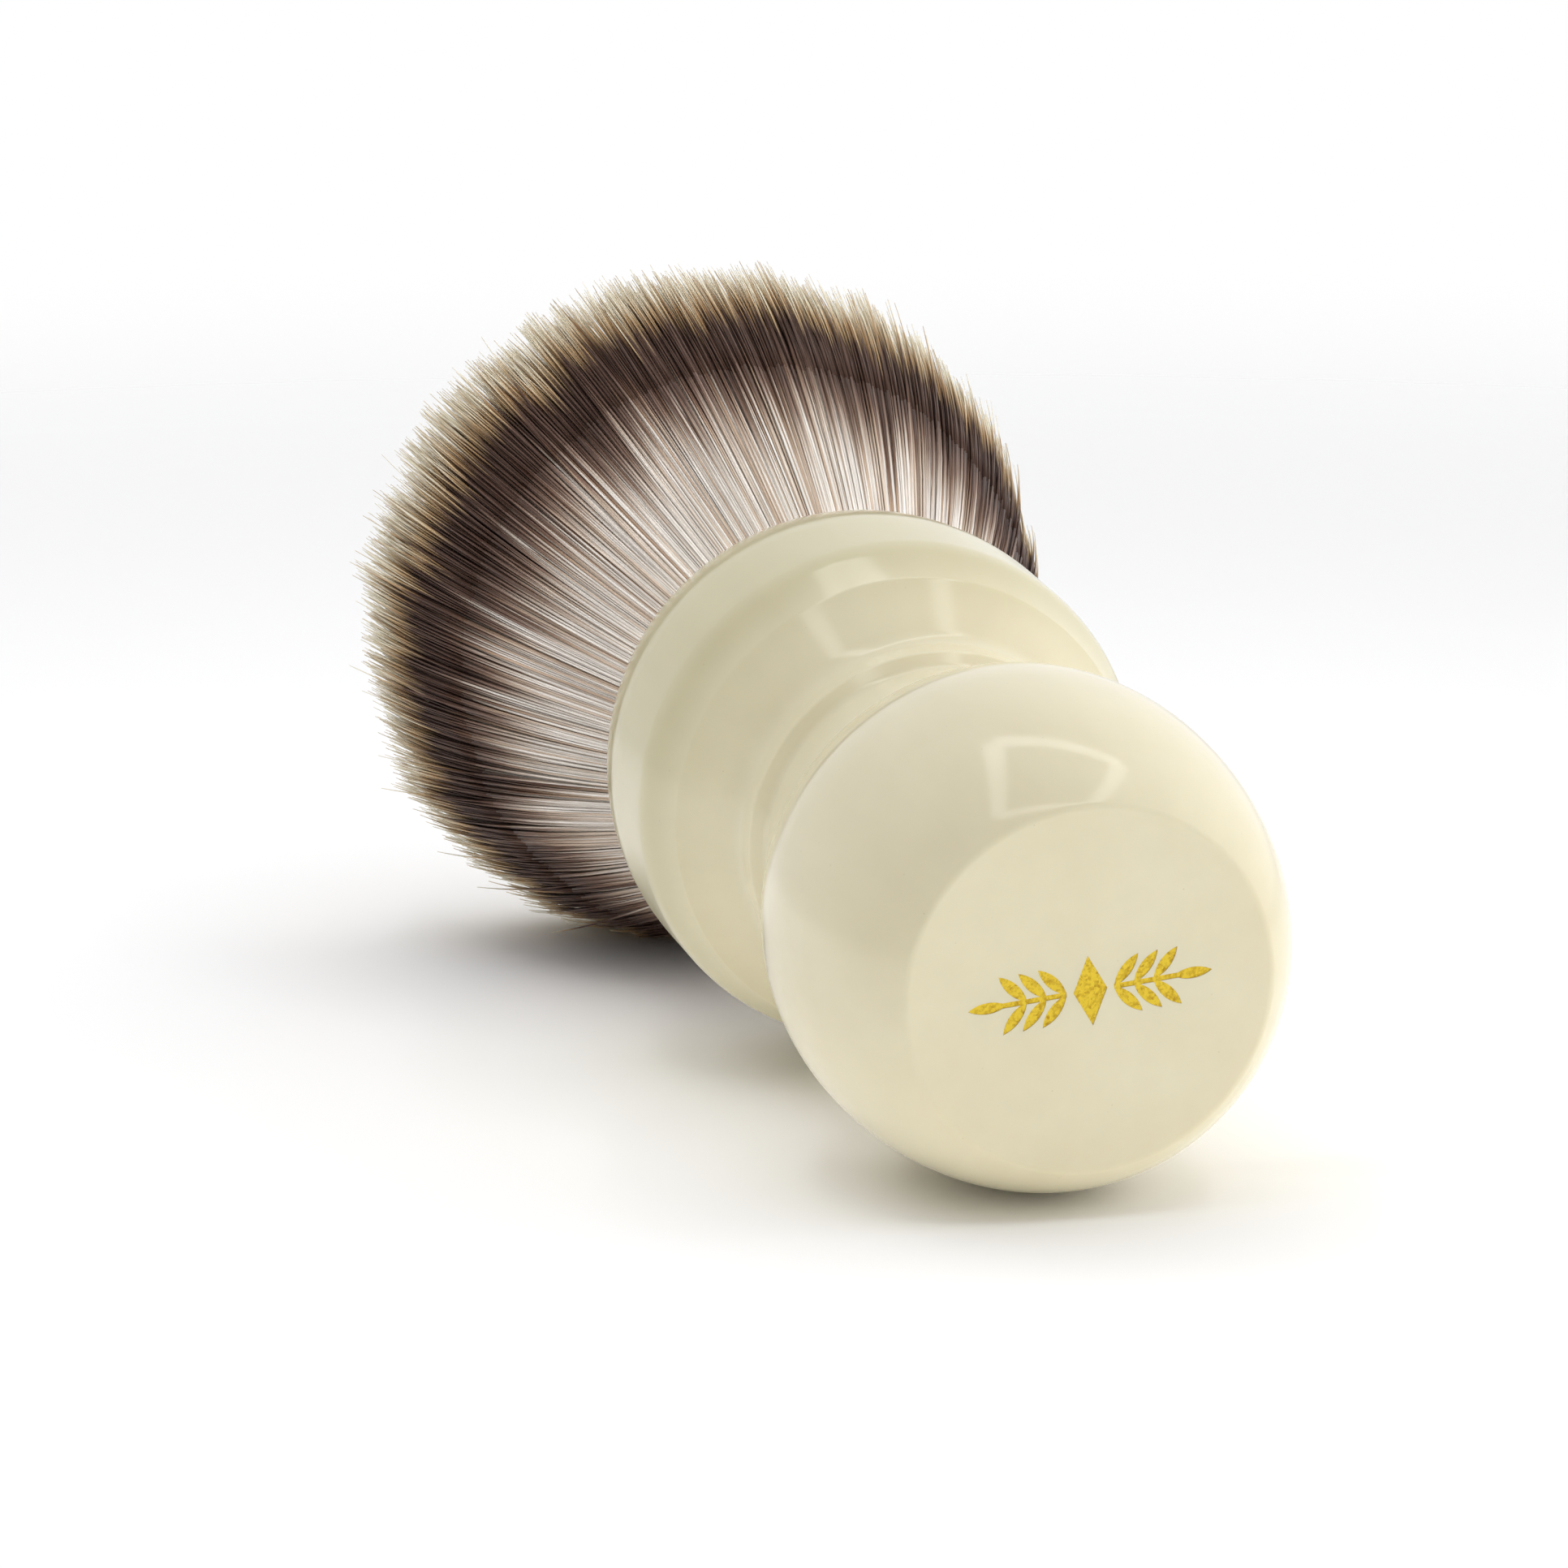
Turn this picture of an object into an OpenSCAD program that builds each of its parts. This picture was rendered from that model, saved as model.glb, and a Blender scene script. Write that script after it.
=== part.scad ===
// Shaving brush: a turned resin handle with a synthetic fibre knot glued into its socket.
// The origin is the centre of the flat base, and +Z runs along the axis to the fibre tips.

/* [Handle] */
// Height from the flat base to the lip round the mouth
handle_h = 67.5; // [65:0.5:81]
// Diameter of the flat base, out to its edge
base_d = 27; // [22:0.5:31]
// Rounding of the edge round the base
base_edge = 0.8; // [0.3:0.1:1.5]
// Widest diameter of the bulb
bulb_d = 37; // [34:0.5:45]
// Height at which the bulb is widest
bulb_z = 16.2; // [14:0.2:19]
// How far the bulb's curve reaches in from its widest diameter
bulb_depth = 8; // [6:0.2:9]
// Height of the bulb's curve above its widest point
bulb_top = 14.5; // [12:0.5:15]

/* [Neck] */
// Diameter of the neck behind the bulb
neck_d = 26.2; // [24:0.2:27]
// Diameter of the narrow ring above the neck
ring_d = 28.2; // [27.4:0.2:29]
// Height at which the neck meets the ring
ring_z = 37.6; // [36:0.2:39]
// Height of the ring, up to where the flare leaves it
ring_w = 3.7; // [3:0.1:4.5]

/* [Collar] */
// Diameter at the crease where the flare meets the collar
rim_d = 35.7; // [32:0.1:37]
// Height of the crease
rim_z = 45.5; // [43.5:0.1:48]
// Rounding of the crease
rim_edge = 1; // [0.4:0.1:1.4]
// Widest diameter of the collar
collar_d = 38.9; // [37.4:0.1:46.7]
// Height above the crease at which the sloping side meets the upright side
collar_rise = 4; // [3:0.5:6]
// Rounding where the lower side turns upright
collar_round = 6; // [3:0.5:9]
// Height of the rounded top, from the end of the upright side to the lip
collar_drop = 11; // [7:0.5:12]
// Width of the flat lip round the mouth
lip_w = 1.4; // [1:0.1:2]

/* [Socket] */
// Diameter of the socket that the knot is glued into
socket_d = 26.4; // [24:0.2:27]
// Depth of the socket
socket_h = 15; // [12:0.5:16]
// Gap all round that the adhesive fills
glue_gap = 0.2; // [0.1:0.05:0.4]
// Thickness of the adhesive under the knot
glue_bed = 0.5; // [0.3:0.1:1]

/* [Knot] */
// Height of the moulded ring round the fibre ends
cup_h = 10; // [8:0.5:10.5]
// Wall of the moulded ring
cup_wall = 0.7; // [0.5:0.1:1.2]
// Height of the resin plug cast round the fibre ends
plug_h = 9; // [6:0.5:9.5]
// Gap between the free fibres and the socket wall
fibre_gap = 0.3; // [0.2:0.1:0.6]
// Widest diameter of the fibre bundle
bloom_d = 55; // [46:0.5:60]
// Height above the lip at which the bundle is widest
bloom_h = 35.5; // [30:0.5:42]
// Height of the domed top above the widest place
dome_h = 10.5; // [8:0.5:14]

/* [Sway] */
// Radius of the fibres that stay upright round the mouth, from the lip's centre
stiff_r = 18.5; // [18:0.5:20]
// Radius at which the lower part of the bundle meets the upper part
split_r = 36; // [30:0.5:40]
// Gap between the parts of the bundle that move
sway_gap = 0.3; // [0.2:0.05:0.5]

/* [Inlay] */
// Length of the ornament across the base
inlay_l = 18; // [14:0.5:20]
// Turn of the ornament about the axis
inlay_turn = 38; // [0:1:90]
// Depth of the engraving
inlay_cut = 0.4; // [0.2:0.05:0.8]
// How far the metallic fill stays below the base
inlay_sink = 0.08; // [0.05:0.01:0.15]
// Length of one leaf
leaf_l = 2.9; // [2.5:0.1:3.2]
// Width of one leaf
leaf_w = 0.85; // [0.6:0.05:0.9]
// Pairs of leaves on each sprig
leaf_pairs = 3; // [2:1:4]

/* [Hidden] */
$fn = 96;

// Steps along each computed curve
curve_steps = 14;

// Corner roundings of the neck, in the order from bulb to flare
shoulder_round = 2.4;
neck_round = 1.1;
ring_round = 0.5;
flare_round = 3;
mouth_round = 0.3;

// Fraction of the bulb's upper curve that shows before the neck begins
bulb_end = 0.9;

// Ornament proportions
leaf_tilt = 48;
stem_w = 0.4;
lozenge = [1.25, 2.6];
lozenge_gap = 0.5;

// Colours
resin_colour = "#DED6BB";
gold_colour = "#C9A63A";
glue_colour = "#B9AE93";
ring_colour = "#3A3A3C";
plug_colour = "#8C8474";
fibre_colour = "#CDC1B2";
fibre_dark = "#55433A";
fibre_tip = "#C8B48C";

// Heights and radii that follow from the sizes above
bulb_r = bulb_d / 2;
base_r = base_d / 2;
collar_r = collar_d / 2;
collar_z = handle_h - collar_drop;
socket_r = socket_d / 2;
socket_z = handle_h - socket_h;
lip_r = socket_r + lip_w;
knot_r = socket_r - glue_gap;
knot_z = socket_z + glue_bed;
core_r = knot_r - cup_wall;
mouth_r = socket_r - fibre_gap;
cup_z = knot_z + cup_h;
plug_z = knot_z + plug_h;
bloom_r = bloom_d / 2;

// Points along an ellipse, from angle a0 to angle a1
function arc(centre, rx, rz, a0, a1, n = curve_steps) =
    [for (i = [0 : n]) let (a = a0 + (a1 - a0) * i / n)
        [centre.x + rx * cos(a), centre.y + rz * sin(a)]];

// Unit vector from p to q
function towards(p, q) = (q - p) / norm(q - p);

// Points of a circular rounding of radius r at corner b between a and c
function rounded(a, b, c, r, n = 6) =
    let (u = towards(b, a), v = towards(b, c))
    let (half = acos(u * v) / 2, mid = (u + v) / norm(u + v))
    let (centre = b + mid * r / sin(half))
    let (start = b + u * r / tan(half), end = b + v * r / tan(half))
    let (a0 = atan2(start.y - centre.y, start.x - centre.x))
    let (a1 = atan2(end.y - centre.y, end.x - centre.x))
    let (sweep = a1 - a0 > 180 ? a1 - a0 - 360 : a1 - a0 < -180 ? a1 - a0 + 360 : a1 - a0)
    arc(centre, r, r, a0, a0 + sweep, n);

// Lower half of the bulb: an ellipse through the base edge and the widest place
bulb_centre = [bulb_r - bulb_depth, bulb_z];
edge_cos = (base_r - bulb_centre.x) / bulb_depth;
bulb_low = bulb_z / sqrt(1 - edge_cos * edge_cos);
base_angle = -acos(edge_cos);
bulb_lower = arc(bulb_centre, bulb_depth, bulb_low, base_angle, 0);
edge_pts = rounded([0, 0], [base_r, 0], bulb_lower[1], base_edge);

// Upper half of the bulb, then the corner points of the neck, ring and flare
bulb_upper = arc(bulb_centre, bulb_depth, bulb_top, 0, asin(bulb_end));
bulb_last = bulb_upper[curve_steps];
bulb_before = bulb_upper[curve_steps - 1];
bulb_slope = towards(bulb_before, bulb_last);
neck_r = neck_d / 2;
neck_low = bulb_last + bulb_slope * (bulb_last.x - neck_r) / -bulb_slope.x;
neck_high = [neck_r, ring_z];
ring_low = [ring_d / 2, ring_z + (ring_d - neck_d) / 2];
ring_high = [ring_d / 2, ring_z + ring_w];
rim = [rim_d / 2, rim_z];

// Collar: a sloping side that rounds into an upright one, then an ellipse to the lip
collar_corner = [collar_r, rim_z + collar_rise];
collar_slope = atan((collar_r - rim.x) / collar_rise);
collar_leg = min(norm(collar_corner - rim), collar_z - collar_corner.y);
collar_fillet = min(collar_round, 0.95 * collar_leg / tan(collar_slope / 2));
collar_lower = rounded(rim, collar_corner, [collar_r, collar_z], collar_fillet);
collar_upper = arc([lip_r, collar_z], collar_r - lip_r, collar_drop, 0, 90);

// Points 1 to the last but one, where a curve's ends belong to its neighbours
function inner(points) = [for (i = [1 : len(points) - 2]) points[i]];
function tail(points) = [for (i = [1 : len(points) - 1]) points[i]];

handle_outline = concat(
    [[0, 0]],
    edge_pts,
    tail(bulb_lower),
    tail(bulb_upper),
    rounded(bulb_last, neck_low, neck_high, shoulder_round),
    rounded(neck_low, neck_high, ring_low, neck_round),
    rounded(neck_high, ring_low, ring_high, ring_round),
    rounded(ring_low, ring_high, rim, flare_round),
    rounded(ring_high, rim, collar_corner, rim_edge),
    collar_lower,
    collar_upper,
    rounded([lip_r, handle_h], [socket_r, handle_h], [socket_r, socket_z], mouth_round),
    [[socket_r, socket_z], [0, socket_z]]
);

// One leaf: the lens that two circles share
module leaf() {
    leaf_r = (leaf_l * leaf_l + leaf_w * leaf_w) / (4 * leaf_w);
    intersection() {
        translate([leaf_l / 2, leaf_r - leaf_w / 2])
            circle(leaf_r);
        translate([leaf_l / 2, leaf_w / 2 - leaf_r])
            circle(leaf_r);
    }
}

// A stem with pairs of leaves and one leaf at its end, from the lozenge outwards
module sprig() {
    start = lozenge.x + lozenge_gap;
    finish = inlay_l / 2 - leaf_l;
    step = (finish - start) / leaf_pairs;
    translate([start, -stem_w / 2])
        square([finish - start + leaf_l / 4, stem_w]);
    translate([finish, 0])
        leaf();
    for (i = [0 : leaf_pairs - 1], side = [-1, 1])
        translate([start + step * i, 0])
            rotate(side * leaf_tilt)
                leaf();
}

// The ornament, drawn flat about the origin
module ornament() {
    rotate(inlay_turn) {
        polygon([[lozenge.x, 0], [0, lozenge.y], [-lozenge.x, 0], [0, -lozenge.y]]);
        for (turn = [0, 180])
            rotate(turn)
                sprig();
    }
}

// Half section of the whole fibre bundle, from the plug's top to the domed tips
function fan(i) = mouth_r + (bloom_r - mouth_r) * sin(90 * i / curve_steps);

fan_side = [for (i = [0 : curve_steps]) [fan(i), handle_h + bloom_h * i / curve_steps]];
fan_top = arc([0, handle_h + bloom_h], bloom_r, dome_h, 0, 90);
fan_outline = concat(
    [[0, plug_z], [core_r, plug_z], [core_r, cup_z], [mouth_r, cup_z]],
    fan_side,
    tail(fan_top)
);

// Circle about the centre of the mouth, which the moving parts swing round
module swing_circle(r) {
    translate([0, handle_h])
        circle(r);
}

module handle() {
    color(resin_colour)
    difference() {
        rotate_extrude()
            polygon(handle_outline);
        translate([0, 0, -1])
            linear_extrude(inlay_cut + 1)
                ornament();
    }
}

module base_inlay() {
    color(gold_colour)
    translate([0, 0, inlay_sink])
        linear_extrude(inlay_cut - inlay_sink)
            ornament();
}

module socket_adhesive() {
    color(glue_colour)
    translate([0, 0, socket_z])
    difference() {
        cylinder(r = socket_r, h = glue_bed + cup_h);
        translate([0, 0, glue_bed])
            cylinder(r = knot_r, h = cup_h + 1);
    }
}

module knot_ring() {
    color(ring_colour)
    translate([0, 0, knot_z])
    difference() {
        cylinder(r = knot_r, h = cup_h);
        translate([0, 0, -1])
            cylinder(r = core_r, h = cup_h + 2);
    }
}

module knot_plug() {
    color(plug_colour)
    translate([0, 0, knot_z])
        cylinder(r = core_r, h = plug_h);
}

module fibre_root() {
    color(fibre_colour)
    rotate_extrude()
        intersection() {
            polygon(fan_outline);
            swing_circle(stiff_r);
        }
}

module fibre_middle() {
    color(fibre_dark)
    rotate_extrude()
        difference() {
            intersection() {
                polygon(fan_outline);
                swing_circle(split_r);
            }
            swing_circle(stiff_r + sway_gap);
        }
}

module fibre_head() {
    color(fibre_tip)
    rotate_extrude()
        difference() {
            polygon(fan_outline);
            swing_circle(split_r + sway_gap);
        }
}

handle();
base_inlay();
socket_adhesive();
knot_ring();
knot_plug();
fibre_root();
fibre_middle();
fibre_head();
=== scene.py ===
import math
import bmesh
import bpy
import numpy as np
from mathutils import Matrix, Vector


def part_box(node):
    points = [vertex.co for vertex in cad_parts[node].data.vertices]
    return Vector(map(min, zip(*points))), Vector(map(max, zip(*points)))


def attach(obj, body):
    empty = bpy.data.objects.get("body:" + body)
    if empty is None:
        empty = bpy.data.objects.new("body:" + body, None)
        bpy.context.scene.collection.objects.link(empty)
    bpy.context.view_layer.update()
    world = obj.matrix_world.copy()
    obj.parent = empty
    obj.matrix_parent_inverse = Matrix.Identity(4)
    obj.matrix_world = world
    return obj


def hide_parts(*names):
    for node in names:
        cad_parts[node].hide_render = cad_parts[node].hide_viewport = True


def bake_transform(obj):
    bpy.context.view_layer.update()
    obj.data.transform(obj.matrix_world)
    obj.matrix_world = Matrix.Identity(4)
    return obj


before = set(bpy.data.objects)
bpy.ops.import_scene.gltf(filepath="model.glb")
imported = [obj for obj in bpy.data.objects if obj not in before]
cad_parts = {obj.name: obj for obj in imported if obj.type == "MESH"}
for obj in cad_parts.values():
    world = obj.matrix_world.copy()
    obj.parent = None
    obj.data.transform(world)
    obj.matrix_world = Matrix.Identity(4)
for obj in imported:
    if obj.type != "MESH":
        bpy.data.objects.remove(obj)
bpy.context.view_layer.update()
print("frame loaded with", len(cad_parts), "nodes")

mm = 0.001  # every size in the dictionaries below is in millimetres
scene = bpy.context.scene
scene.view_settings.view_transform = "Standard"  # colours come out as they are set

handleLow, handleHigh = (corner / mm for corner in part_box("handle"))
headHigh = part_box("fibre_head")[1] / mm
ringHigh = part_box("knot_ring")[1] / mm
inlayLow, inlayHigh = (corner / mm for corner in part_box("base_inlay"))

camera = dict(
    place=(0.0, 266.7, -566.8),  # below the base and 25 degrees off the axis
    aim=(5.26, 0.0, 65.5),
    lens=205.0,
    sensor=36.0,
)

# The brush lies on its side, on its bulb and the widest fibres. The azimuth is where the
# floor's normal points round the axis, and the tilt is how far that normal leans to +Z.
lying = dict(azimuth=134.5, tilt=5.0)


def unit(values):
    # The vector with its length made one.
    values = np.asarray(values, float)
    return values / np.linalg.norm(values)


floorUp = np.array([
    math.cos(math.radians(lying["tilt"])) * math.cos(math.radians(lying["azimuth"])),
    math.cos(math.radians(lying["tilt"])) * math.sin(math.radians(lying["azimuth"])),
    math.sin(math.radians(lying["tilt"])),
])
looking = unit(np.subtract(camera["aim"], camera["place"]))
floorAway = unit(looking - floorUp * (looking @ floorUp))
floorRight = np.cross(floorAway, floorUp)


# Camera, upright over the floor that the brush lies on

def aimed(place, aim, up):
    # A matrix at place whose -Z axis points at aim and whose Y axis is nearest to up.
    back = unit(np.subtract(place, aim))
    right = unit(np.cross(up, back))
    turned = np.column_stack([right, np.cross(back, right), back])
    return Matrix.Translation(Vector(place) * mm) @ Matrix(turned.tolist()).to_4x4()


cameraData = bpy.data.cameras.new("camera")
cameraData.lens = camera["lens"]
cameraData.sensor_width = camera["sensor"]
cameraData.clip_end = 20.0
cameraObject = bpy.data.objects.new("camera", cameraData)
cameraObject.matrix_world = aimed(camera["place"], camera["aim"], floorUp)
scene.collection.objects.link(cameraObject)
scene.camera = cameraObject
print("camera placed")


# Mesh helpers

def meshObject(name, points, faces, smooth=True, uv=None):
    # One object from an array of points and a list of index arrays, one array for each side count.
    mesh = bpy.data.meshes.new(name)
    corners = np.concatenate([f.ravel() for f in faces]).astype(np.int32)
    counts = np.concatenate([np.full(len(f), f.shape[1]) for f in faces])
    starts = np.concatenate([[0], np.cumsum(counts)[:-1]]).astype(np.int32)
    mesh.vertices.add(len(points))
    mesh.vertices.foreach_set("co", (points * mm).astype(np.float32).ravel())
    mesh.loops.add(len(corners))
    mesh.loops.foreach_set("vertex_index", corners)
    mesh.polygons.add(len(counts))
    mesh.polygons.foreach_set("loop_start", starts)
    mesh.update(calc_edges=True)
    mesh.polygons.foreach_set("use_smooth", np.broadcast_to(smooth, len(counts)).copy())
    if uv is not None:
        layer = mesh.uv_layers.new(name="OFBake")
        layer.uv.foreach_set("vector", uv.astype(np.float32).ravel())
    mesh.validate()
    made = bpy.data.objects.new(name, mesh)
    scene.collection.objects.link(made)
    return made


# Handle: a surface of revolution with the same outline as the frame's handle

handleShape = dict(
    baseD=27.0, baseEdge=0.8, bulbD=37.0, bulbZ=16.2, bulbDepth=8.0, bulbTop=14.5, bulbEnd=0.9,
    neckD=26.2, ringD=28.2, ringZ=37.6, ringW=3.7,
    rimD=35.7, rimZ=45.5, rimEdge=1.0,
    collarRise=4.0, collarRound=6.0, collarDrop=11.0, lipW=1.4,
    socketD=26.4, socketH=15.0,
    shoulderRound=2.4, neckRound=1.1, ringRound=0.5, flareRound=3.0, mouthRound=0.3,
    segments=224,  # steps round the axis
    arcStep=3.0,  # degrees between points on the long curves
    edgeSteps=12,  # points on each small rounding
    wallTop=1.0, wallSteps=6,  # where the socket wall's points start under the lip, and how many
)


def arcPoints(centre, rx, rz, start, end, steps):
    # Points on an ellipse: centre + (rx cos a, rz sin a), with a in degrees from start to end.
    a = np.radians(np.linspace(start, end, steps + 1))
    return np.column_stack([centre[0] + rx * np.cos(a), centre[1] + rz * np.sin(a)])


def roundedCorner(before, corner, after, radius, steps):
    # The arc of the circle of this radius that touches both legs of the corner.
    corner = np.asarray(corner, float)
    u = unit(np.subtract(before, corner))
    v = unit(np.subtract(after, corner))
    half = math.acos(u @ v) / 2
    centre = corner + unit(u + v) * radius / math.sin(half)
    ends = [corner + leg * radius / math.tan(half) - centre for leg in (u, v)]
    a0, a1 = (math.degrees(math.atan2(e[1], e[0])) for e in ends)
    sweep = (a1 - a0 + 180) % 360 - 180
    return arcPoints(centre, radius, radius, a0, a0 + sweep, steps)


def handleOutline(s):
    # (radius, height) points from the base's edge up the outside, over the lip and down the socket.
    height, collarR = handleHigh.z, handleHigh.x
    bulbR, baseR, neckR, ringR = s["bulbD"] / 2, s["baseD"] / 2, s["neckD"] / 2, s["ringD"] / 2
    rim = [s["rimD"] / 2, s["rimZ"]]
    socketR, socketZ = s["socketD"] / 2, height - s["socketH"]
    lipR, collarZ = socketR + s["lipW"], height - s["collarDrop"]

    centre = [bulbR - s["bulbDepth"], s["bulbZ"]]
    edgeCos = (baseR - centre[0]) / s["bulbDepth"]
    lowReach = s["bulbZ"] / math.sqrt(1 - edgeCos ** 2)
    lowAngle = math.degrees(math.acos(edgeCos))
    lower = arcPoints(centre, s["bulbDepth"], lowReach, -lowAngle, 0, int(lowAngle))
    topAngle = math.degrees(math.asin(s["bulbEnd"]))
    upper = arcPoints(centre, s["bulbDepth"], s["bulbTop"], 0, topAngle, int(topAngle))

    slope = unit(upper[-1] - upper[-2])
    neckLow = upper[-1] + slope * (upper[-1][0] - neckR) / -slope[0]
    neckHigh = [neckR, s["ringZ"]]
    ringLowPoint = [ringR, s["ringZ"] + ringR - neckR]
    ringHighPoint = [ringR, s["ringZ"] + s["ringW"]]

    corner = [collarR, rim[1] + s["collarRise"]]
    side = roundedCorner(rim, corner, [collarR, collarZ], s["collarRound"], 2 * s["edgeSteps"])
    shoulder = arcPoints([lipR, collarZ], collarR - lipR, s["collarDrop"], 0, 90, int(90 / s["arcStep"]))

    steps = s["edgeSteps"]
    wall = np.column_stack([np.full(s["wallSteps"], socketR),
                            np.linspace(height - s["wallTop"], socketZ, s["wallSteps"])])
    return np.concatenate([
        roundedCorner([0, 0], [baseR, 0], lower[2], s["baseEdge"], 2 * steps),
        lower[2:], upper[1:-1],
        roundedCorner(upper[-1], neckLow, neckHigh, s["shoulderRound"], 2 * steps),
        roundedCorner(neckLow, neckHigh, ringLowPoint, s["neckRound"], steps),
        roundedCorner(neckHigh, ringLowPoint, ringHighPoint, s["ringRound"], steps),
        roundedCorner(ringLowPoint, ringHighPoint, rim, s["flareRound"], steps),
        roundedCorner(ringHighPoint, rim, corner, s["rimEdge"], steps),
        side, shoulder,
        roundedCorner([lipR, height], [socketR, height], [socketR, socketZ], s["mouthRound"], steps),
        wall,
    ])


def revolved(name, outline, segments):
    # The outline carried round Z: (r cos a, r sin a, z), closed by one flat face at each end.
    a = np.arange(segments) * 2 * math.pi / segments
    r, z = outline[:, :1], outline[:, 1:]
    points = np.stack([r * np.cos(a), r * np.sin(a), z + 0 * a], axis=-1).reshape(-1, 3)
    i, j = np.meshgrid(np.arange(len(outline) - 1), np.arange(segments), indexing="ij")
    k = (j + 1) % segments
    quads = np.stack([i * segments + j, i * segments + k, (i + 1) * segments + k,
                      (i + 1) * segments + j], axis=-1).reshape(-1, 4)
    ring = np.arange(segments)
    caps = np.stack([ring[::-1], ring + (len(outline) - 1) * segments])
    made = meshObject(name, points, [quads, caps])
    for cap in list(made.data.polygons)[-2:]:
        cap.use_smooth = False
    return made


def engraved(piece, cutterNode, floorZ):
    # Cuts a copy of a CAD node out of the piece, with the copy's lower face moved down to floorZ.
    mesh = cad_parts[cutterNode].data.copy()
    work = bmesh.new()
    work.from_mesh(mesh)
    bmesh.ops.remove_doubles(work, verts=work.verts, dist=1e-6)
    middle = (inlayLow.z + inlayHigh.z) / 2 * mm
    for vert in work.verts:
        if vert.co.z < middle:
            vert.co.z = floorZ * mm
    for face in work.faces:
        face.smooth = False
        face.material_index = 0
    work.to_mesh(mesh)
    work.free()
    mesh.materials.clear()
    cutter = bpy.data.objects.new("cutter", mesh)
    scene.collection.objects.link(cutter)
    cut = piece.modifiers.new("engraving", "BOOLEAN")
    cut.operation = "DIFFERENCE"
    cut.solver = "EXACT"
    cut.object = cutter
    depsgraph = bpy.context.evaluated_depsgraph_get()
    result = bpy.data.meshes.new_from_object(piece.evaluated_get(depsgraph))
    piece.modifiers.clear()
    piece.data = result
    bpy.data.objects.remove(cutter)


cutterZ = -1.0  # under the base, so that the engraving opens through it
handle = revolved("turnedHandle", handleOutline(handleShape), handleShape["segments"])
engraved(handle, "base_inlay", cutterZ)
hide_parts("handle")
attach(handle, "handle")
print("handle turned:", len(handle.data.polygons), "faces")


# Fibres: tapered three-sided strands that fan out of the socket

fibre = dict(
    strands=36000,
    seed=41,
    outerShare=0.8,  # strands rooted outside this share of the bundle's radius show their whole length
    rootDrop=4.0,  # how far below the lip the strands start
    rootGap=0.1,  # how far inside the moulded ring's outline they start
    rootJitter=0.4,  # wander of the roots, as a share of their spacing
    innerStart=(0.4, 1.0),  # where the inner strands start, as shares of cutH
    bloomH=35.5,  # height over the lip where the bundle is widest
    cutH=22.0,  # height over the lip where the lower and upper pieces meet
    straight=0.5,  # from 0, a curved fan that closes at its tips, to 1, straight strands
    thick=0.22,
    tipThick=0.06,
    thickRange=(0.8, 1.15),  # from the thinnest to the thickest strand, as shares of thick
    taper=0.42,  # share of the free length that narrows
    taperPower=1.5,
    ragged=0.75,  # spread of the strand lengths
    raggedLimits=(-2.5, 1.6),
    clumpRagged=0.55,  # spread of whole clumps' lengths
    clumpSize=1.2,  # distance between clumps at the widest place
    clumpPull=0.32,  # how far the tips close up to their clump
    pullRange=(0.3, 1.0),  # from the loosest to the tightest clump, as shares of clumpPull
    locksSize=5.0,  # distance between the larger locks
    locksPull=0.12,
    cellJitter=0.9,  # how far the centres of clumps and locks leave a square grid
    stray=0.3,  # sideways wander at the tips
    strayShare=0.03, strayMore=3.0,  # a few strands wander this many times as far
    wave=0.12, waveAngle=5.0,  # height of the bend along a strand, and its angle in radians
    columns=256,  # colour variants
    group=8,  # variants that a clump draws from, in order of how far their bands sit from the tip
    mapLength=60.0,  # strand length that the whole map height stands for
    pieces=dict(fibresLower=3, fibresUpper=3, fibresInner=4),
)

lowerSteps = [0.0, 0.2, 0.4, 0.6, 0.8, 1.0]  # rings of the lower part, from the lip to the cut
upperSteps = [0.18, 0.36, 0.54, 0.72, 0.88, 1.0]  # rings of the upper part, from the cut to the tip


def clumpCentres(places, size, spread, draw):
    # The jittered centre of the grid cell that each place is in, and that cell's number.
    cells = int(2 / size) + 3
    index = np.floor(places / size).astype(int) + cells // 2
    jitter = draw.random((cells + 1, cells + 1, 2)) - 0.5
    centre = (index - cells // 2 + 0.5 + spread * jitter[index[:, 0], index[:, 1]]) * size
    return centre, index[:, 0] * (cells + 1) + index[:, 1]


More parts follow.
